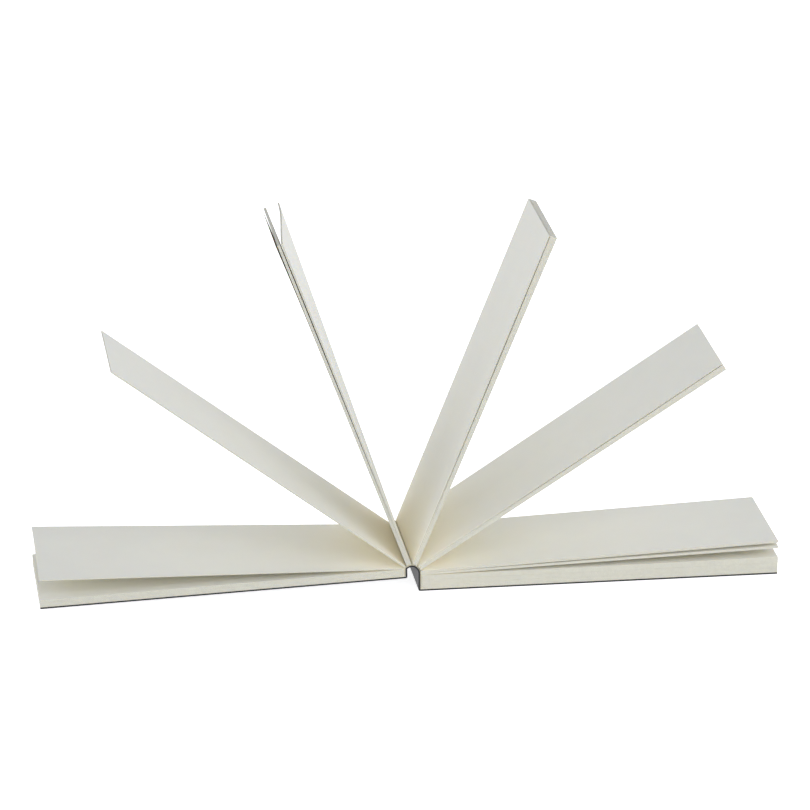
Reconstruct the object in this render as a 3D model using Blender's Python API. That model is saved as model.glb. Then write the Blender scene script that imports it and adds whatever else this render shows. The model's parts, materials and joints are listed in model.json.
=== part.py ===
"""A panoramic sketchbook, sewn in nine sections and glued into one flexible cover.

It lies open: the back cover and three sections flat on the right, the front cover and the last
sections on the left, and the sections between them fanned upright over the arch of the spine.
X runs across the opening, Y along the spine with the foot at -Y, and Z up from the table.

Each stack of leaves that moves on its own has a hinge: an empty on the line where it bends.
In a hinge's own axes, X runs from the spine to the fore-edge and Z from leaf to leaf, so the
closed book is every hinge turned back to zero. The cover and the lining bend between the
sections, so each is divided there into strips with mitred ends.
"""
from math import asin, atan2, cos, degrees, hypot, pi, radians, sin, tan

import bmesh
import bpy
from mathutils import Vector

MM = 0.001

# Leaves
PAGE_WIDTH = 210 * MM          # from the fold to the fore-edge
PAGE_HEIGHT = 70 * MM          # along the spine
LEAF = 0.17 * MM               # thickness of one leaf
SECTION_LEAVES = 16            # eight sheets folded once
LEAF_GAP = 0.05 * MM           # between two stacks that lie on each other
SWELL = 0.58 * MM              # the spine is this much longer than a fanned section is thick
PART_SWELL = 0.40 * MM         # and than the part of a section that stands alone
FOLD_RADIUS = 0.35 * MM        # round back of a folded section
ARC_STEPS = 4

# Spine, from the folds inwards
FOLD_GAP = 0.10 * MM           # from a hinge line to the folds
LINING = 0.15 * MM
LINING_GAP = 0.05 * MM
COVER = 0.90 * MM              # thickness of the cover
COVER_GAP = 0.10 * MM
MITRE_GAP = 0.10 * MM          # between the strips of two sections

# Sewing
THREAD = 0.40 * MM
THREAD_GAP = 0.08 * MM
THREAD_SIDES = 8
KETTLE_INSET = 6 * MM          # the thread stops this far from the head and the foot

# A leaf that turns on its own bends this far out from the fold
TURN_ROOT = 0.60 * MM

# How the open book lies: the angle of each section's leaves above the table on the right,
# and its stacks as (name, number of leaves, angle away from the section, counted as it opens)
LOWER_SECTIONS = 3
FAN = [
    (4, 1.75, LEAF_GAP, [("lower", 8, 0.0), ("upper", 7, 0.55)]),
    (5, 33.2, SWELL, [("lower", 13, 0.0), ("upper", 2, 0.5)]),
    (6, 68.2, SWELL, [("lower", 13, 0.0), ("upper", 2, 0.6)]),
    (7, 110.8, SWELL, [("right", 6, -1.9), ("middle", 9, 0.0)]),
    (8, 142.9, PART_SWELL, [("raised", 4, 0.0)]),
]
LOOSE_LEAVES = 3               # of section 8, lifted off the left side
LOOSE_ANGLE = -4.6
LAID_LEAVES = 8                # of section 8, lying on section 9

EDGE = FOLD_GAP + PAGE_WIDTH
COVER_DEPTH = LINING_GAP + LINING + COVER_GAP
SPINE_DEPTH = COVER_DEPTH + COVER

FINISHES = {
    "paper": ((0.83, 0.81, 0.70), 0.75),
    "endpaper": ((0.80, 0.78, 0.67), 0.80),
    "cover": ((0.020, 0.021, 0.025), 0.60),
    "lining": ((0.72, 0.70, 0.62), 0.95),
    "thread": ((0.78, 0.75, 0.64), 0.70),
}


def clear_scene():
    for obj in list(bpy.data.objects):
        bpy.data.objects.remove(obj, do_unlink=True)


def finish(name, kind):
    colour, roughness = FINISHES[kind]
    made = bpy.data.materials.new(f"{name}_{kind}")
    made.use_nodes = True
    shader = made.node_tree.nodes["Principled BSDF"]
    shader.inputs["Base Color"].default_value = (*colour, 1.0)
    shader.inputs["Roughness"].default_value = roughness
    shader.inputs["Metallic"].default_value = 0.0
    made.diffuse_color = (*colour, 1.0)
    return made


def hinge(name, parent, x, z, turn):
    """An empty on a bend line, turned about Y by degrees, so that a positive turn opens the book."""
    empty = bpy.data.objects.new(name, None)
    bpy.context.scene.collection.objects.link(empty)
    empty.parent = parent
    empty.location = (x, 0.0, z)
    empty.rotation_euler = (0.0, -radians(turn), 0.0)
    return empty


def prism(name, kind, parent, outline, length=PAGE_HEIGHT):
    """An outline of (x, z) points carried along Y, as one closed solid on a hinge."""
    mesh = bpy.data.meshes.new(name)
    shape = bmesh.new()
    foot = [shape.verts.new((x, -length / 2, z)) for x, z in outline]
    cap = shape.faces.new(foot)
    sides = bmesh.ops.extrude_face_region(shape, geom=[cap])["geom"]
    head = [item for item in sides if isinstance(item, bmesh.types.BMVert)]
    bmesh.ops.translate(shape, verts=head, vec=Vector((0.0, length, 0.0)))
    bmesh.ops.recalc_face_normals(shape, faces=shape.faces[:])
    shape.to_mesh(mesh)
    shape.free()
    obj = bpy.data.objects.new(name, mesh)
    bpy.context.scene.collection.objects.link(obj)
    obj.data.materials.append(finish(name, kind))
    obj.parent = parent
    return obj


def slab(name, kind, parent, x0, x1, z0, z1):
    return prism(name, kind, parent, [(x0, z0), (x1, z0), (x1, z1), (x0, z1)])


def quarter(x, z, radius, start):
    """Points of a quarter circle round (x, z), from the angle start onwards."""
    angles = [start + pi / 2 * i / ARC_STEPS for i in range(ARC_STEPS + 1)]
    return [(x + radius * cos(a), z + radius * sin(a)) for a in angles]


def folded_stack(name, parent, z0, z1, sewn):
    """Leaves with a round back, and if they are sewn, the groove that their thread lies in."""
    radius = min(FOLD_RADIUS, (z1 - z0) / 4)
    middle = (z0 + z1) / 2
    half = THREAD / 2 + THREAD_GAP
    floor = FOLD_GAP + THREAD + THREAD_GAP
    outline = [(EDGE, z0), (EDGE, z1)]
    outline += quarter(FOLD_GAP + radius, z1 - radius, radius, pi / 2)
    if sewn:
        outline += [(FOLD_GAP, middle + half), (floor, middle + half)]
        outline += [(floor, middle - half), (FOLD_GAP, middle - half)]
    outline += quarter(FOLD_GAP + radius, z0 + radius, radius, pi)
    prism(name, "paper", parent, outline)


def sewn_stack(name, number, parent, z0, z1):
    """The folds of a section, with the thread along its back."""
    folded_stack(name, parent, z0, z1, sewn=True)
    thread(number, parent, (z0 + z1) / 2)


def thread(number, parent, z):
    """The thread of one section, lying in the groove of its back."""
    x = FOLD_GAP + THREAD / 2
    turns = [2 * pi * (i + 0.5) / THREAD_SIDES for i in range(THREAD_SIDES)]
    outline = [(x + THREAD / 2 * cos(a), z + THREAD / 2 * sin(a)) for a in turns]
    length = PAGE_HEIGHT - 2 * KETTLE_INSET
    prism(f"sewing_thread_{number}", "thread", parent, outline, length)


def strips(name, parent, z0, z1, bend0, bend1):
    """Lining and cover along one section's back, mitred to half of the bend at each end."""
    before, after = tan(radians(bend0) / 2), tan(radians(bend1) / 2)
    layers = [
        (f"spine_lining_{name}", "lining", LINING_GAP, LINING_GAP + LINING),
        (f"spine_cover_{name}", "cover", COVER_DEPTH, SPINE_DEPTH),
    ]
    for node, kind, near, far in layers:
        low = z0 + MITRE_GAP / 2
        high = z1 - MITRE_GAP / 2
        prism(node, kind, parent, [
            (-far, low + far * before),
            (-near, low + near * before),
            (-near, high - near * after),
            (-far, high - far * after),
        ])


def turning_leaf(number, parent, fold, z):
    """A single leaf that turns on its own, lying on the stack whose face is at z."""
    rise = LEAF_GAP / 2
    bend = hinge(f"leaf_hinge_{number}", parent, TURN_ROOT - fold, z + rise, 0.0)
    slab(f"turning_leaf_{number}", "paper", bend, 0.0, EDGE - TURN_ROOT, rise, rise + LEAF)


def right_side(root, next_turn):
    """Back cover, endpapers and the sections that lie flat. Returns where the next one bends."""
    slab("back_cover", "cover", root, -SPINE_DEPTH, EDGE, 0.0, COVER)
    z = COVER + LEAF_GAP
    for name in ("back_pastedown", "back_flyleaf"):
        slab(name, "endpaper", root, FOLD_GAP, EDGE, z, z + LEAF)
        z += LEAF + LEAF_GAP
    for number in range(1, LOWER_SECTIONS + 1):
        top = z + SECTION_LEAVES * LEAF
        sewn_stack(f"section_{number}", number, root, z, top)
        z = top + LEAF_GAP
    bend = z - LEAF_GAP / 2
    strips("back", root, COVER + LEAF_GAP, bend, 0.0, next_turn)
    return bend


def leaned_stack(name, parent, z0, z1, angle):
    """Leaves that lean away from their section, hinged where they touch the rest of it."""
    rise, thick = LEAF_GAP / 2, z1 - z0
    touching = z0 - rise if angle > 0.0 else z1 + rise
    bend = hinge(f"{name}_hinge", parent, FOLD_GAP, touching, angle)
    low = rise if angle > 0.0 else -rise - thick
    slab(name, "paper", bend, 0.0, PAGE_WIDTH, low, low + thick)
    return bend, low + thick


def fan_section(number, parent, z, turn, next_turn, swell, stacks):
    """One section of the fan, with the leaf that turns on it. Returns it and the next bend."""
    base = hinge(f"section_{number}_hinge", parent, 0.0, z, turn)
    z = swell / 2
    for place, leaves, angle in stacks:
        name = f"section_{number}_{place}"
        top = z + leaves * LEAF
        if angle:
            carrier, face = leaned_stack(name, base, z, top, angle)
            fold = FOLD_GAP
        else:
            if leaves >= SECTION_LEAVES / 2:
                sewn_stack(name, number, base, z, top)
            else:
                folded_stack(name, base, z, top, sewn=False)
            carrier, face, fold = base, top, 0.0
        z = top + LEAF_GAP
    turning_leaf(number - LOWER_SECTIONS, carrier, fold, face)
    bend = z + LEAF + swell / 2
    strips(str(number), base, 0.0, bend, turn, next_turn)
    return base, bend


def left_side(parent, z, depth, turn):
    """The last sections, lying over the front cover, which hinges on its own."""
    base = hinge("section_9_hinge", parent, 0.0, z, turn)
    z = LEAF_GAP / 2
    top = z + LOOSE_LEAVES * LEAF
    leaned_stack("section_8_loose", base, z, top, LOOSE_ANGLE)
    z = top + LEAF_GAP
    for number, name, leaves in ((8, "section_8_laid", LAID_LEAVES), (9, "section_9", SECTION_LEAVES)):
        top = z + leaves * LEAF
        sewn_stack(name, number, base, z, top)
        z = top + LEAF_GAP
    slab("front_flyleaf", "endpaper", base, FOLD_GAP, EDGE, z, z + LEAF)
    strips("front", base, 0.0, depth - COVER - LEAF_GAP / 2, turn, 0.0)
    cover = hinge("front_cover_hinge", base, -SPINE_DEPTH, depth - COVER - LEAF_GAP / 2, 0.0)
    rise = LEAF_GAP / 2
    slab("front_cover", "cover", cover, 0.0, EDGE + SPINE_DEPTH, rise, rise + COVER)
    slab("front_pastedown", "endpaper", cover, SPINE_DEPTH + FOLD_GAP, EDGE + SPINE_DEPTH,
         -rise - LEAF, -rise)


def left_depth():
    """How thick the left side is, from its hinge line to the outside of the front cover."""
    stacks = (LOOSE_LEAVES + LAID_LEAVES + SECTION_LEAVES + 2) * LEAF
    return LEAF_GAP / 2 + stacks + 5 * LEAF_GAP + COVER


def spine_height(z):
    """How high the last hinge of the fan stands above the table."""
    for _, angle, swell, stacks in FAN:
        leaves = sum(count for _, count, _ in stacks) + 1
        chord = swell + leaves * LEAF + len(stacks) * LEAF_GAP
        z += chord * cos(radians(angle))
    return z


def settle(root):
    """Stands the origin under the middle of the whole book."""
    bpy.context.view_layer.update()
    xs = [(obj.matrix_world @ v.co).x for obj in bpy.data.objects if obj.type == "MESH"
          for v in obj.data.vertices]
    root.location.x -= (min(xs) + max(xs)) / 2


def build():
    clear_scene()
    root = hinge("book", None, 0.0, 0.0, 0.0)
    angles = [angle for _, angle, _, _ in FAN]
    bend = right_side(root, angles[0])

    # The left side leans on the table with its fore-edge, so its angle follows from the arch
    height, depth = spine_height(bend), left_depth()
    slope = asin(height / hypot(depth, EDGE)) - atan2(depth, EDGE)
    angles.append(180.0 + degrees(slope))

    parent, before = root, 0.0
    for (number, angle, swell, stacks), after in zip(FAN, angles[1:]):
        parent, bend = fan_section(number, parent, bend, angle - before, after - angle, swell,
                                   stacks)
        before = angle
    left_side(parent, bend, depth, angles[-1] - before)
    settle(root)


build()
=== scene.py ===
import json
import math

import bpy
import numpy as np
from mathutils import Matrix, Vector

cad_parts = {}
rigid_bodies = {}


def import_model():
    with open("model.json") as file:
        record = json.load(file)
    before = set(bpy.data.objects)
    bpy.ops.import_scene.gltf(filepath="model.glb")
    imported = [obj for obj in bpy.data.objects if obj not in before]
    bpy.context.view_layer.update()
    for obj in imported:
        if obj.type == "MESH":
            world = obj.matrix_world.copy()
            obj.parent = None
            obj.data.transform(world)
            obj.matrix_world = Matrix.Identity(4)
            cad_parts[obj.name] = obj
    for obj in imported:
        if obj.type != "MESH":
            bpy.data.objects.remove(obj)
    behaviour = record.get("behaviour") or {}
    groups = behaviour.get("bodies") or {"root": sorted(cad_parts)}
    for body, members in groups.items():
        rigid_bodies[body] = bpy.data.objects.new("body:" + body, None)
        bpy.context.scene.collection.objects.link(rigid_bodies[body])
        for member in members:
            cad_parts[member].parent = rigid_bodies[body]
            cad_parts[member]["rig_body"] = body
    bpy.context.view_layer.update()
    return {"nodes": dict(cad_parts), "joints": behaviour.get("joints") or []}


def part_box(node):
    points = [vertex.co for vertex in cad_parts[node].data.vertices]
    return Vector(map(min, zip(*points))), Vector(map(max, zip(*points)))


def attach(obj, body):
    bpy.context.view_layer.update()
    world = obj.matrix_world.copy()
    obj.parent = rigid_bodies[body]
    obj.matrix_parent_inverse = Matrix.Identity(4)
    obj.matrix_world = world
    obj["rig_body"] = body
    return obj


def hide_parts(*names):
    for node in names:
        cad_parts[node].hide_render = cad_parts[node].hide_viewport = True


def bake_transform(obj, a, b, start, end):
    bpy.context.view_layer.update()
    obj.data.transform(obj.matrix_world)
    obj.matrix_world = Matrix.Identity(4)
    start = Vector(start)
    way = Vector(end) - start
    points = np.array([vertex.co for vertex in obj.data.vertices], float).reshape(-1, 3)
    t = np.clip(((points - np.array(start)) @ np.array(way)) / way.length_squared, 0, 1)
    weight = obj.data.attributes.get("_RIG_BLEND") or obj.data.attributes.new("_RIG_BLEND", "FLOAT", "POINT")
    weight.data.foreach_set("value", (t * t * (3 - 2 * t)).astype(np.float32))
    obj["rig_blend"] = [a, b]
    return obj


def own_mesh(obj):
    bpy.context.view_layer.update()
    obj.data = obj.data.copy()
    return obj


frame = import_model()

MM = 0.001


# Leaves. The book block is ivory drawing paper of about 200 g per square metre, folded once into
# sheets and gathered in nine sections, then guillotined at head, foot and fore-edge. Each sheet is
# a closed strip here: the sheets of a section lie one inside the other round its fold.
LEAF_PITCH = 0.17 * MM
SHEET = 0.158 * MM             # a little under the pitch, so that a line shows between two leaves
FOLD_REACH = 0.45 * MM         # how far from the back of a fold its leaves run straight
THREAD_DENT = 0.46 * MM        # the sawn groove in the back of a section that its thread lies in
THREAD_DENT_HALF = 0.26 * MM
LEAF_POINTS = 21               # along a single leaf
OUT_POINTS = 17                # along each half of a folded sheet
TURN_POINTS = 13               # round its fold
LEAN_ROWS = 11                 # from foot to head of leaves that lean more at the head
LEAN_ROUNDS = 40               # rounds of iteration, which settle well before the last

FACE = "#E6E4DA"
# Painted bounce light: the paler, warmer cream the faces take on towards the fold.
PAINTED_BOUNCE_AT_FOLD = "#F7F2E2"
# Darker than the faces: partly the cut paper's own tone, partly painted shade between the leaves.
CUT_EDGE_WITH_PAINTED_SHADE = "#CFCCBE"


def linear(colour):
    """An sRGB hex colour as linear RGBA: c / 12.92 for dark values, else ((c + 0.055) / 1.055) ** 2.4."""
    c = np.array([int(colour[i:i + 2], 16) for i in (1, 3, 5)]) / 255
    lin = np.where(c <= 0.04045, c / 12.92, ((c + 0.055) / 1.055) ** 2.4)
    return (*lin.tolist(), 1.0)


def add_node(tree, kind, settings, inputs):
    """Adds a node, sets its own settings, and gives each input a value or a link from a socket."""
    made = tree.nodes.new("ShaderNode" + kind)
    for name, value in settings.items():
        setattr(made, name, value)
    for name, value in inputs.items():
        if isinstance(value, bpy.types.NodeSocket):
            tree.links.new(value, made.inputs[name])
        else:
            made.inputs[name].default_value = value
    return made


def new_material(name, roughness, ior, thin=False):
    """An empty material and its Principled shader. A thin sheet of paper has no gloss, and lets some
    light through, warmer than it came."""
    made = bpy.data.materials.new(name)
    made.use_nodes = True
    shader = made.node_tree.nodes["Principled BSDF"]
    shader.inputs["Roughness"].default_value = roughness
    shader.inputs["IOR"].default_value = ior
    if thin:
        shader.inputs["Specular IOR Level"].default_value = 0.0
        shader.inputs["Subsurface Weight"].default_value = 0.5
        shader.inputs["Subsurface Radius"].default_value = (1.0, 0.8, 0.5)
        shader.inputs["Subsurface Scale"].default_value = 0.25 * MM
    return made, made.node_tree, shader


# Uncoated wove drawing paper, matt: no gloss at all, a fine felt tooth and faint clouds about 25 mm
# across. Towards the fold it is painted paler and warmer: painted bounce light between the leaves.
paper, tree, shader = new_material("uncoated_drawing_paper", 0.92, 1.45, thin=True)
place = add_node(tree, "TexCoord", {}, {})
leaf_uv = add_node(tree, "UVMap", {"uv_map": "leaf"}, {})
across = add_node(tree, "SeparateXYZ", {}, {0: leaf_uv.outputs["UV"]})
cloud = add_node(tree, "TexNoise", {}, {"Vector": place.outputs["Object"], "Scale": 38.0,
                                        "Detail": 3.0, "Roughness": 0.6})
# Mask of the painted bounce light, strongest at the fold and gone 30 % of the way out.
painted_bounce_mask = add_node(tree, "MapRange", {"interpolation_type": "SMOOTHERSTEP"},
                     {"Value": across.outputs["X"], "From Min": 0.0, "From Max": 0.30,
                      "To Min": 0.9, "To Max": 0.0})
face_with_painted_bounce = add_node(tree, "Mix", {"data_type": "RGBA"},
                {0: painted_bounce_mask.outputs["Result"], 6: linear(FACE), 7: linear(PAINTED_BOUNCE_AT_FOLD)})
shade = add_node(tree, "MapRange", {}, {"Value": cloud.outputs["Fac"], "From Min": 0.3,
                                        "From Max": 0.7, "To Min": 0.975, "To Max": 1.0})
look = add_node(tree, "Mix", {"data_type": "RGBA", "blend_type": "MULTIPLY"},
                {0: 1.0, 6: face_with_painted_bounce.outputs[2], 7: shade.outputs["Result"]})
tree.links.new(look.outputs[2], shader.inputs["Base Color"])
# Felt tooth is about 0.3 mm apart; it is drawn at about 1 mm, the finest that shows.
tooth = add_node(tree, "TexNoise", {}, {"Vector": place.outputs["Object"], "Scale": 1000.0,
                                        "Detail": 2.0, "Roughness": 0.5})
felt = add_node(tree, "Bump", {}, {"Height": tooth.outputs["Fac"], "Strength": 0.25,
                                   "Distance": 0.05 * MM})
tree.links.new(felt.outputs["Normal"], shader.inputs["Normal"])

# The same paper where the guillotine cut it: a duller, slightly furry edge, faintly streaked every
# few millimetres. Its tone is darker than the faces, partly painted shade for shadows between leaves.
cut_paper, tree, shader = new_material("guillotined_paper_edge", 0.95, 1.45, thin=True)
place = add_node(tree, "TexCoord", {}, {})
streak = add_node(tree, "TexNoise", {}, {"Vector": place.outputs["Object"], "Scale": 420.0,
                                         "Detail": 3.0, "Roughness": 0.65})
shade = add_node(tree, "MapRange", {}, {"Value": streak.outputs["Fac"], "From Min": 0.3,
                                        "From Max": 0.7, "To Min": 0.93, "To Max": 1.0})
look = add_node(tree, "Mix", {"data_type": "RGBA", "blend_type": "MULTIPLY"},
                {0: 1.0, 6: linear(CUT_EDGE_WITH_PAINTED_SHADE), 7: shade.outputs["Result"]})
tree.links.new(look.outputs[2], shader.inputs["Base Color"])


joint_at = {j["name"]: np.array(j["pos_m"])[[0, 2]] for j in frame["joints"]}
SPINE_MIDDLE = (joint_at["section_4_hinge"] + joint_at["section_9_hinge"]) / 2
half_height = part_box("section_1")[1].y


def lie_of(node):
    """Where a CAD node lies: its corner at the spine and the lowest leaf, the direction out to the
    fore-edge, the direction from leaf to leaf, and its size along each. The long direction is the
    first singular vector of its corners in the XZ plane."""
    mesh = frame["nodes"][node].data
    flat = np.empty(len(mesh.vertices) * 3, np.float32)
    mesh.vertices.foreach_get("co", flat)
    corners = np.unique(np.round(flat.reshape(-1, 3)[:, [0, 2]].astype(float), 7), axis=0)
    middle = corners.mean(0)
    out = np.linalg.svd(corners - middle)[2][0]
    out = out * np.sign(out @ (middle - SPINE_MIDDLE))
    up = np.array([-out[1], out[0]])
    span = (corners - middle) @ np.array([out, up]).T
    low, high = span.min(0), span.max(0)
    return middle + low[0] * out + low[1] * up, out, up, *(high - low)


def single_lines(length, heights, points):
    """Centre lines of single leaves: u runs evenly from the fold to the fore-edge, and v stays put."""
    lines = np.empty((len(heights), points, 2))
    lines[..., 0] = np.linspace(0.0, length, points)
    lines[..., 1] = heights[:, None]
    return lines


def folded_lines(length, heights, points, turn):
    """Centre lines of nested folded sheets, the first and last of the heights being the two leaves
    of the outermost: straight in along one leaf, half an ellipse round the fold, and straight out
    along the other, with the points of a leaf closer together near the fold. Each next sheet starts
    a leaf further in, and the thread's groove pushes the backs in by a bell curve."""
    middle = heights.mean()
    halves = heights[len(heights) // 2:][::-1, None] - middle
    depth = np.arange(len(halves))[:, None] * LEAF_PITCH
    angle = np.linspace(-math.pi / 2, math.pi / 2, turn)[None]
    back = depth + FOLD_REACH * (1 - np.cos(angle)) + SHEET / 2
    back = back + THREAD_DENT * np.exp(-(halves * np.sin(angle) / THREAD_DENT_HALF) ** 2)
    out = back[:, -1:] + (length - back[:, -1:]) * np.linspace(0.0, 1.0, points)[None, 1:] ** 1.3
    u = np.concatenate([out[:, ::-1], back, out], 1)
    low = np.broadcast_to(middle - halves, out.shape)
    high = np.broadcast_to(middle + halves, out.shape)
    v = np.concatenate([low, middle + halves * np.sin(angle), high], 1)
    return np.stack([u, v], -1)


def spread(lines, length, thickness, amount, power, still):
    """Leaves that part towards the fore-edge: v moves by amount (v / thickness - still) times
    (u / length) ** power, so the leaf at the share `still` of the stack stays where it is."""
    share = np.clip(lines[..., 1] / thickness, 0, 1) - still
    lines[..., 1] += amount * share * (np.clip(lines[..., 0], 0, None) / length) ** power
    return lines


def closed_strips(lines, rows, thickness):
    """Closed strips from centre lines of (u, v) points, carried along y in `rows` rows. At each point
    the two faces lie half a thickness to either side along the line's normal (-t_v, t_u). Returns
    points as (u, y, v), quads with the rims last, and the number of quads that aren't rims."""
    count, along = lines.shape[:2]
    step = np.gradient(lines, axis=1)
    step /= np.linalg.norm(step, axis=-1, keepdims=True)
    normal = np.stack([-step[..., 1], step[..., 0]], -1)
    faces = np.stack([lines + normal * thickness / 2, lines - normal * thickness / 2])
    points = np.empty((2, count, along, rows, 3))
    points[..., 0] = faces[..., None, 0]
    points[..., 1] = np.linspace(-half_height, half_height, rows)
    points[..., 2] = faces[..., None, 1]
    index = np.arange(points.size // 3).reshape(points.shape[:-1])
    front, back = index
    corners = [
        (front[:, :-1, :-1], front[:, 1:, :-1], front[:, 1:, 1:], front[:, :-1, 1:]),
        (back[:, :-1, 1:], back[:, 1:, 1:], back[:, 1:, :-1], back[:, :-1, :-1]),
        (back[:, :-1, 0], back[:, 1:, 0], front[:, 1:, 0], front[:, :-1, 0]),
        (front[:, :-1, -1], front[:, 1:, -1], back[:, 1:, -1], back[:, :-1, -1]),
        (back[:, 0, :-1], front[:, 0, :-1], front[:, 0, 1:], back[:, 0, 1:]),
        (front[:, -1, :-1], back[:, -1, :-1], back[:, -1, 1:], front[:, -1, 1:]),
    ]
    quads = [np.stack(four, -1).reshape(-1, 4) for four in corners]
    return points.reshape(-1, 3), np.concatenate(quads), len(quads[0]) + len(quads[1])


def make_piece(name, parts, lie, materials, length=1.0, lean=None):
    """One mesh from several sets of closed strips. (u, y, v) becomes corner + u out + v up, and then
    `lean` may move the points. The UV map "leaf" holds u / length and y as a share of the height.
    Rims take the last material."""
    corner, out, up = lie
    points, quads, rims, start = [], [], [], 0
    for strip_points, strip_quads, faces in parts:
        points.append(strip_points)
        quads.append(strip_quads + start)
        rims.append(np.arange(len(strip_quads)) >= faces)
        start += len(strip_points)
    points, quads, rims = np.concatenate(points), np.concatenate(quads), np.concatenate(rims)
    xz = corner + points[:, :1] * out + points[:, 2:] * up
    if lean is not None:
        xz = lean(xz, points[:, 1])
    world = np.stack([xz[:, 0], points[:, 1], xz[:, 1]], -1)
    mesh = bpy.data.meshes.new(name)
    mesh.from_pydata(world, [], quads)
    uv = np.stack([points[:, 0] / length, points[:, 1] / (2 * half_height) + 0.5], -1)[quads.ravel()]
    mesh.uv_layers.new(name="leaf").data.foreach_set("uv", uv.astype(np.float32).ravel())
    for material in materials:
        mesh.materials.append(material)
    mesh.polygons.foreach_set("material_index", (rims * (len(materials) - 1)).astype(np.int32))
    mesh.shade_smooth()
    mesh.set_sharp_from_angle(angle=math.radians(35))
    piece = bpy.data.objects.new(name, mesh)
    bpy.context.scene.collection.objects.link(piece)
    return piece


def stand_for(piece, slot, *nodes):
    """The piece takes the place of CAD nodes and moves with their body. The slot is not used."""
    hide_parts(*nodes)
    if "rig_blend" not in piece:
        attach(piece, frame["nodes"][nodes[0]]["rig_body"])


def leaf_stack(node, folded=0, parting=None, rows=2, lean=None):
    """The leaves of a CAD stack, each a closed strip: the top `folded` of them are the halves of
    nested sheets, and the ones below are single. `parting` holds how they spread."""
    corner, out, up, length, thickness = lie_of(node)
    leaves = max(1, round(thickness / LEAF_PITCH))
    heights = (np.arange(leaves) + 0.5) * thickness / leaves
    lines = []
    if folded < leaves:
        lines.append(single_lines(length, heights[:leaves - folded], LEAF_POINTS))
    if folded:
        lines.append(folded_lines(length, heights[leaves - folded:], OUT_POINTS, TURN_POINTS))
    if parting:
        lines = [spread(some, length, thickness, *parting) for some in lines]
    parts = [closed_strips(some, rows, SHEET) for some in lines]
    return make_piece(f"{node}_leaves", parts, (corner, out, up), [paper, cut_paper], length, lean)


# Leaves that lie as one flat stack. Where the two halves of a sheet lie in the same stack, they are
# one folded strip. FOLDED gives how many of a stack's leaves are such halves.
FOLDED = {"section_1": 16, "section_2": 16, "section_9": 16}
for node in ("section_1", "section_2", "section_4_lower", "section_4_upper", "section_5_upper",
             "section_6_upper", "section_8_raised", "section_8_laid", "section_9",
             "turning_leaf_1", "turning_leaf_2", "turning_leaf_3", "turning_leaf_5"):
    stand_for(leaf_stack(node, FOLDED.get(node, 0)), "paper", node)

# The upright section's last leaf curls away at its tip.
stand_for(leaf_stack("section_7_middle", 8), "paper", "section_7_middle")
TIP_CURL = 1.6 * MM
TIP_CURL_POWER = 6.0
piece = leaf_stack("turning_leaf_4", 0, (TIP_CURL, TIP_CURL_POWER, 0.0))
corner, _, up, _, _ = lie_of("turning_leaf_4")
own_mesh(piece)
stand_for(piece, "paper", "turning_leaf_4")


# Riffled leaves. Some stacks don't lean as one: their leaves part evenly from one side of the stack
# to the other, or lean away more at the head than at the foot, as a hand has left them.
def riffled(node, folded, hinge, bodies, start, end, rows=2):
    """Leaves that lean by the share w of the turn between two stacks, about the hinge between them.
    w is the smoothstep of a point's way from start to end, found by iteration where the lean itself
    carries the point along that way. The same w shares the hinge's turn between the two bodies, so
    that the leaves shut flat. One limit of the hinge is zero, so the sum of both is the other."""
    joint = next(j for j in frame["joints"] if j["name"] == hinge)
    turn = -math.radians(sum(joint["range_deg"]))
    leaning = float(frame["nodes"][node]["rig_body"] == bodies[1])
    start, end = np.array(start), np.array(end)
    way = (end - start) / ((end - start) @ (end - start))

    def lean(xz, y):
        flat = (xz - joint_at[hinge]) @ [1, 1j]
        share = np.full(len(y), leaning)
        for _ in range(LEAN_ROUNDS):
            turned = flat * np.exp(1j * turn * (share - leaning))
            place = np.stack([turned.real, y, turned.imag], -1) + np.insert(joint_at[hinge], 1, 0.0)
            t = np.clip((place - start) @ way, 0, 1)
            share = t * t * (3 - 2 * t)
        return place[:, [0, 2]]

    piece = leaf_stack(node, folded, None, rows, lean)
    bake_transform(piece, *bodies, start=tuple(start), end=tuple(end))
    stand_for(piece, "paper", node)


# Parting from below: (node, folded leaves, hinge, bodies, length of the way).
for node, folded, hinge, bodies, length in (
        ("section_3", 16, "section_4_hinge", ("back_side", "section_4"), 14.6 * MM),
        ("section_5_lower", 10, "section_5_upper_hinge", ("section_5", "section_5_upper"), 5.3 * MM),
        ("section_6_lower", 10, "section_6_upper_hinge", ("section_6", "section_6_upper"), 5.5 * MM)):
    corner, _, up, _, _ = lie_of(node)
    start = np.array([corner[0], 0.0, corner[1]])
    riffled(node, folded, hinge, bodies, start, start + length * np.array([up[0], 0.0, up[1]]))

# Leaning more at the head: (node, hinge, bodies, where along the spine the lean would start). The
# start lies below the foot, so the foot leans too.
for node, hinge, bodies, start_y in (
        ("section_7_right", "section_7_right_hinge", ("section_7", "section_7_right"), -0.0521),
        ("section_8_loose", "section_8_loose_hinge", ("front_side", "section_8_loose"), -0.158)):
    riffled(node, 0, hinge, bodies, (0.0, start_y, 0.0), (0.0, half_height, 0.0), LEAN_ROWS)


# Sewing. Each section is sewn through its fold with waxed linen thread, which runs along the back
# of the section in the sawn groove. The thread is two yarns twisted together.
THREAD_TWIST = 2.2 * MM        # length of one full turn of the two yarns

# Undyed and waxed: straw-coloured with a dull shine, its fibres mottled about 0.4 mm apart.
thread_material, tree, shader = new_material("waxed_linen_thread", 0.55, 1.5)
place = add_node(tree, "TexCoord", {}, {})
fibre = add_node(tree, "TexNoise", {}, {"Vector": place.outputs["Object"], "Scale": 2500.0,
                                        "Detail": 2.0})
shade = add_node(tree, "Mix", {"data_type": "RGBA"},
                 {0: fibre.outputs["Fac"], 6: linear("#C9BF9F"), 7: linear("#E6DEC4")})
tree.links.new(shade.outputs[2], shader.inputs["Base Color"])


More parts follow.
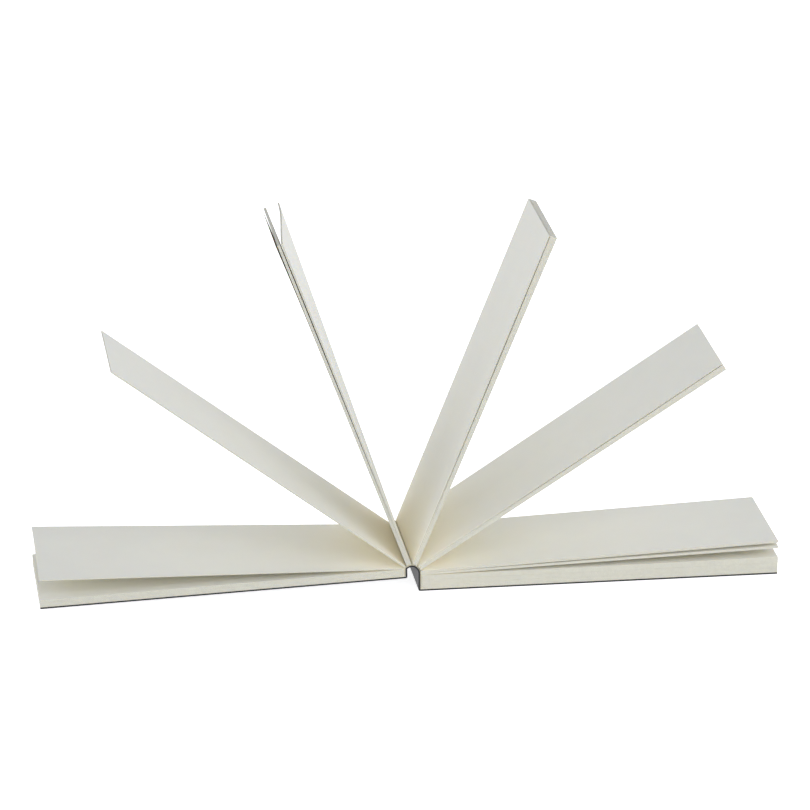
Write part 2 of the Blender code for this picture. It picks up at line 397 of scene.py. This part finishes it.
def twisted_thread(node):
    """Two yarns side by side turning about each other: at the angle a round the thread and the
    distance y along it, the radius is r (0.72 + 0.28 |cos(a - 2 pi y / twist)|)."""
    low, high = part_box(node)
    radius = min(high.x - low.x, high.z - low.z) / 2
    turns, rows = 12, 121
    around = np.linspace(0, 2 * math.pi, turns, endpoint=False)[None]
    y = np.linspace(low.y, high.y, rows)[:, None]
    r = radius * (0.72 + 0.28 * np.abs(np.cos(around - 2 * math.pi * y / THREAD_TWIST)))
    x = (low.x + high.x) / 2 + r * np.cos(around)
    z = (low.z + high.z) / 2 + r * np.sin(around)
    ring = np.stack([x, np.broadcast_to(y, x.shape), z], -1).reshape(-1, 3)
    index = np.arange(rows * turns).reshape(rows, turns)
    after = np.roll(index, -1, 1)
    quads = np.stack([index[:-1], index[1:], after[1:], after[:-1]], -1).reshape(-1, 4)
    ends = [index[0].tolist(), index[-1][::-1].tolist()]
    mesh = bpy.data.meshes.new(f"{node}_twisted")
    mesh.from_pydata(ring, [], quads.tolist() + ends)
    mesh.materials.append(thread_material)
    mesh.shade_smooth()
    mesh.set_sharp_from_angle(angle=math.radians(50))
    piece = bpy.data.objects.new(f"{node}_twisted", mesh)
    bpy.context.scene.collection.objects.link(piece)
    stand_for(piece, "sewing_thread", node)


for node in sorted(n for n in frame["nodes"] if n.startswith("sewing_thread_")):
    twisted_thread(node)


# Spine lining and spine of the cover. A strip of starched mull is glued over the backs of the
# sections, and the flexible cover, about 0.9 mm of dyed fibre board faced with imitation leather,
# is one piece that wraps round it. Both bend at every section, as one smooth arch.

# The bend at section_4_hinge is number 4, with the pair of bodies on either side of it.
carried = ["back_side", "section_4", "section_5", "section_6", "section_7", "section_8", "front_side"]
bends = list(enumerate(zip(carried, carried[1:]), 4))
hinges = [joint_at[f"section_{number}_hinge"] for number, _ in bends]
chords = [np.array([0.0, 1.0])]
chords += [(b - a) / np.linalg.norm(b - a) for a, b in zip(hinges, hinges[1:])]
chords += [lie_of("section_9")[2]]


def offset_bends(depth):
    """The bend lines moved `depth` inwards, each to where its two moved chords cross: the hinge less
    depth (o1 + o2) / (1 + o1 . o2), with o the direction of the leaves on either side."""
    outs = [np.array([c[1], -c[0]]) for c in chords]
    return [h - depth * (a + b) / (1 + a @ b) for h, a, b in zip(hinges, outs, outs[1:])]


def bend_curve(start, corner, end, points):
    """A quadratic curve from start to end that leaves and arrives along its corner's two sides."""
    t = np.linspace(0, 1, points)[:, None]
    return (1 - t) ** 2 * start + 2 * t * (1 - t) * corner + t ** 2 * end


def arch_lines(depth, points):
    """The centre lines of the arch at a depth inside the bend lines, one from mid-chord to mid-chord
    for each hinge, with the straight legs starting half a neighbouring chord away."""
    corners = offset_bends(depth)
    halves = [np.linalg.norm(b - a) / 2 for a, b in zip(corners, corners[1:])]
    halves = [halves[0], *halves, halves[-1]]
    return [bend_curve(c - a * before, c, c + b * after, points)
            for c, a, b, before, after in zip(corners, chords, chords[1:], halves, halves[1:])]


# A lie that leaves points where they are, for lines given in X and Z.
IN_PLACE = (np.zeros(2), np.array([1.0, 0.0]), np.array([0.0, 1.0]))
LINING_DEPTH = 0.125 * MM      # from the hinges in to the middle of the mull
LINING = 0.14 * MM
LINING_ROWS = 9                # from foot to head
LINING_POINTS = 13             # along the arch at each hinge
LINING_LEG_POINTS = 6          # down each straight leg

# Open plain cotton weave of about 1.4 mm, drawn at its real spacing: pale and dull with starch.
mull, tree, shader = new_material("starched_mull", 0.95, 1.5)
place = add_node(tree, "TexCoord", {}, {})
weave = add_node(tree, "TexVoronoi", {"distance": "CHEBYCHEV"},
                 {"Vector": place.outputs["Object"], "Scale": 710.0, "Randomness": 0.25})
shade = add_node(tree, "Mix", {"data_type": "RGBA"},
                 {0: weave.outputs["Distance"], 6: linear("#E2DCC6"), 7: linear("#B9B29A")})
tree.links.new(shade.outputs[2], shader.inputs["Base Color"])


def arch_piece(name, line, materials, thickness, rows, slot, pair, *nodes):
    """A stretch of the arch between two bodies, which bends from its first point to its last as the
    hinge between them turns."""
    piece = make_piece(name, [closed_strips(line[None], rows, thickness)], IN_PLACE, materials)
    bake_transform(piece, *pair, start=(line[0][0], 0, line[0][1]), end=(line[-1][0], 0, line[-1][1]))
    if nodes:
        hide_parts(*nodes)


def flat_piece(name, line, materials, thickness, rows, slot, *nodes):
    """A stretch that doesn't bend, in place of the CAD nodes whose body it moves with."""
    piece = make_piece(name, [closed_strips(line[None], rows, thickness)], IN_PLACE, materials)
    stand_for(piece, slot, *nodes)


lining_lines = arch_lines(LINING_DEPTH, LINING_POINTS)
for (number, pair), line in zip(bends, lining_lines):
    nodes = {f"spine_lining_{number}"} & set(frame["nodes"])
    arch_piece(f"mull_bend_{number}", line, [mull], LINING, LINING_ROWS, "spine_lining", pair, *nodes)

back_end = lining_lines[0][0]
leg = np.linspace([back_end[0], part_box("spine_lining_back")[0].z], back_end, LINING_LEG_POINTS)
flat_piece("mull_back_leg", leg, [mull], LINING, LINING_ROWS, "spine_lining", "spine_lining_back")

front_end = lining_lines[-1][-1]
low = min(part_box("spine_lining_front")[0].z, front_end[1])
reach = (front_end[1] - low) / -chords[-1][1]
leg = np.linspace(front_end, front_end + chords[-1] * reach, LINING_LEG_POINTS)
flat_piece("mull_front_leg", leg, [mull], LINING, LINING_ROWS, "spine_lining", "spine_lining_front")


# Endpapers. At each end of the book a folded ivory sheet joins the block to the cover: one leaf is
# pasted down over the whole of the board, and the other is a free fly-leaf.
for node in ("back_pastedown", "back_flyleaf", "front_flyleaf", "front_pastedown"):
    stand_for(leaf_stack(node), "endpaper", node)


# Cover. One flexible piece: a dark board core, seen as a near-black line at the cut edges, faced on
# the outside with a fine-grained grey imitation leather, and rounded where it turns into the spine.
COVER_DEPTH = 0.30 * MM        # from the hinges in to its inner face
COVER = 0.90 * MM
CORNER = 0.62 * MM             # radius of the middle of the cover at its two long folds
COVER_ROWS = 15                # from foot to head
COVER_POINTS = 17              # along the arch at each hinge
BOARD_POINTS = 60              # from the fore-edge to the fold
FOLD_ROWS = 9
FOLD_POINTS = 9                # round the fold
COVER_LEG_POINTS = 7           # up the leg to the arch

leatherette, tree, shader = new_material("grained_leatherette", 0.52, 1.48)
place = add_node(tree, "TexCoord", {}, {})
# Goat grain pressed into a coated face: pebbles about 1.1 mm across with shallow valleys.
grain = add_node(tree, "TexVoronoi", {"feature": "SMOOTH_F1"},
                 {"Vector": place.outputs["Object"], "Scale": 900.0, "Smoothness": 0.6,
                  "Randomness": 0.95})
wear = add_node(tree, "TexNoise", {}, {"Vector": place.outputs["Object"], "Scale": 60.0,
                                       "Detail": 4.0, "Roughness": 0.6})
# The grain's valleys are painted darker: painted shade in the hollows of the grain.
grain_tone_and_painted_shade = add_node(tree, "Mix", {"data_type": "RGBA"},
                  {0: grain.outputs["Distance"], 6: linear("#5E5E61"), 7: linear("#4B4B4E")})
rubbed = add_node(tree, "MapRange", {}, {"Value": wear.outputs["Fac"], "From Min": 0.35,
                                         "From Max": 0.7, "To Min": 0.9, "To Max": 1.1})
look = add_node(tree, "Mix", {"data_type": "RGBA", "blend_type": "MULTIPLY"},
                {0: 1.0, 6: grain_tone_and_painted_shade.outputs[2], 7: rubbed.outputs["Result"]})
tree.links.new(look.outputs[2], shader.inputs["Base Color"])
pressed = add_node(tree, "Bump", {"invert": True}, {"Height": grain.outputs["Distance"],
                                                    "Strength": 0.5, "Distance": 0.12 * MM})
tree.links.new(pressed.outputs["Normal"], shader.inputs["Normal"])

# Dyed fibre board where a knife cut it: near-black, matt, with felted fibres drawn at about 1 mm.
cut_board, tree, shader = new_material("cut_board_edge", 0.75, 1.5)
place = add_node(tree, "TexCoord", {}, {})
fibre = add_node(tree, "TexNoise", {}, {"Vector": place.outputs["Object"], "Scale": 900.0,
                                        "Detail": 3.0})
shade = add_node(tree, "Mix", {"data_type": "RGBA"},
                 {0: fibre.outputs["Fac"], 6: linear("#0E0E10"), 7: linear("#1E1E21")})
tree.links.new(shade.outputs[2], shader.inputs["Base Color"])

finish = [leatherette, cut_board]
cover_lines = arch_lines(COVER_DEPTH + COVER / 2, COVER_POINTS)
for (number, pair), line in zip(bends, cover_lines):
    nodes = {f"spine_cover_{number}"} & set(frame["nodes"])
    arch_piece(f"cover_bend_{number}", line, finish, COVER, COVER_ROWS, "cover", pair, *nodes)


def board_and_leg(edge, corner, top):
    """A centre line in three stretches: from the fore-edge along the board, round its long fold by a
    quarter turn of radius CORNER, and up the leg to the arch. Each ends where the next starts."""
    along, up = (corner - edge), (top - corner)
    along, up = along / np.linalg.norm(along), up / np.linalg.norm(up)
    a = np.linspace(0, math.pi / 2, FOLD_POINTS)[:, None]
    centre = corner + (up - along) * CORNER
    turn = centre + CORNER * (along * np.sin(a) - up * np.cos(a))
    board = edge + (turn[0] - edge) * np.linspace(0, 1, BOARD_POINTS)[:, None]
    leg = turn[-1] + (top - turn[-1]) * np.linspace(0, 1, COVER_LEG_POINTS)[:, None]
    return board, turn, leg


low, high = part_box("back_cover")
middle_z = (low.z + high.z) / 2
back_top = cover_lines[0][0]
edge, corner = np.array([[high.x, middle_z], [back_top[0], middle_z]])
board, turn, leg = board_and_leg(edge, corner, back_top)
line = np.concatenate([board[:-1], turn, leg[1:]])
flat_piece("back_cover_and_spine_leg", line, finish, COVER, COVER_ROWS, "cover",
           "back_cover", "spine_cover_back")

# The front board opens on its long fold, so the fold is a piece that bends.
corner, out, up, length, thickness = lie_of("front_cover")
middle = corner + up * thickness / 2
board, turn, leg = board_and_leg(middle + out * length, middle + out * COVER / 2, cover_lines[-1][-1])
flat_piece("front_cover_board", board, finish, COVER, COVER_ROWS, "cover", "front_cover")
arch_piece("front_cover_fold", turn[::-1], finish, COVER, FOLD_ROWS, "cover",
           ("front_side", "front_cover_swing"))
flat_piece("front_spine_leg", leg, finish, COVER, COVER_ROWS, "cover", "spine_cover_front")


# Table. A product table: a plain sheet of matt white plastic, lit from below so that it glows and
# shows hardly any shadow. It lies just under the book, so that the two faces don't flicker.
FLOOR = 24.0
FLOOR_GAP = 0.3 * MM
floor_mesh = bpy.data.meshes.new("white_table")
corners = np.array([(-1, -1), (1, -1), (1, 1), (-1, 1)]) * FLOOR / 2
floor_mesh.from_pydata(np.insert(corners, 2, -FLOOR_GAP, axis=1), [], [(0, 1, 2, 3)])
table, tree, shader = new_material("lit_white_table", 0.9, 1.45)
shader.inputs["Base Color"].default_value = (0.86, 0.86, 0.86, 1.0)
shader.inputs["Emission Color"].default_value = (1.0, 1.0, 1.0, 1.0)
shader.inputs["Emission Strength"].default_value = 0.85
floor_mesh.materials.append(table)
floor = bpy.data.objects.new("white_table", floor_mesh)
bpy.context.scene.collection.objects.link(floor)


# Light. A white room for the soft fill, and a large soft box over the front, both a little cool.
# Light goes from leaf to leaf many times deep in a gutter, so it gets more bounces than usual.
DAYLIGHT = (0.965, 0.99, 1.05)
bpy.context.scene.cycles.diffuse_bounces = 12
bpy.context.scene.cycles.max_bounces = 16
world = bpy.data.worlds.new("white_room")
world.use_nodes = True
world.node_tree.nodes["Background"].inputs["Color"].default_value = (*DAYLIGHT, 1.0)
world.node_tree.nodes["Background"].inputs["Strength"].default_value = 0.70
bpy.context.scene.world = world

soft_box = bpy.data.lights.new("front_soft_box", "AREA")
soft_box.size = 1.6
soft_box.energy = 11.0
soft_box.color = DAYLIGHT
lamp = bpy.data.objects.new("front_soft_box", soft_box)
bpy.context.scene.collection.objects.link(lamp)
lamp.location = (0.9, -1.7, 1.7)
aim = Vector((0.0, 0.0, 0.06)) - lamp.location
lamp.rotation_mode = "QUATERNION"
lamp.rotation_quaternion = aim.to_track_quat("-Z", "Y")


# Camera. A long lens a little to the left of the foot of the book, looking down on it. It aims at a
# point AIM_X to the right and AIM_UP above the origin in its own view, from DISTANCE away.
AZIMUTH, ELEVATION, ROLL = (math.radians(a) for a in (-8.2604, 20.2014, 0.4488))
DISTANCE, AIM_X, AIM_UP = 2.55574, -0.00034, 0.09531
back = np.array([math.sin(AZIMUTH) * math.cos(ELEVATION), -math.cos(AZIMUTH) * math.cos(ELEVATION),
                 math.sin(ELEVATION)])
right = np.array([math.cos(AZIMUTH), math.sin(AZIMUTH), 0.0])
upward = np.cross(back, right)
axis_x = math.cos(ROLL) * right + math.sin(ROLL) * upward
axis_y = math.cos(ROLL) * upward - math.sin(ROLL) * right
lens = bpy.data.cameras.new("camera")
lens.sensor_width = 36.0
lens.lens = 194.69
lens.clip_start, lens.clip_end = 0.1, 60.0
camera = bpy.data.objects.new("camera", lens)
bpy.context.scene.collection.objects.link(camera)
turned = Matrix([axis_x, axis_y, back]).transposed().to_4x4()
turned.translation = AIM_X * right + AIM_UP * upward + DISTANCE * back
camera.matrix_world = turned
bpy.context.scene.camera = camera
bpy.context.scene.view_settings.view_transform = "Standard"
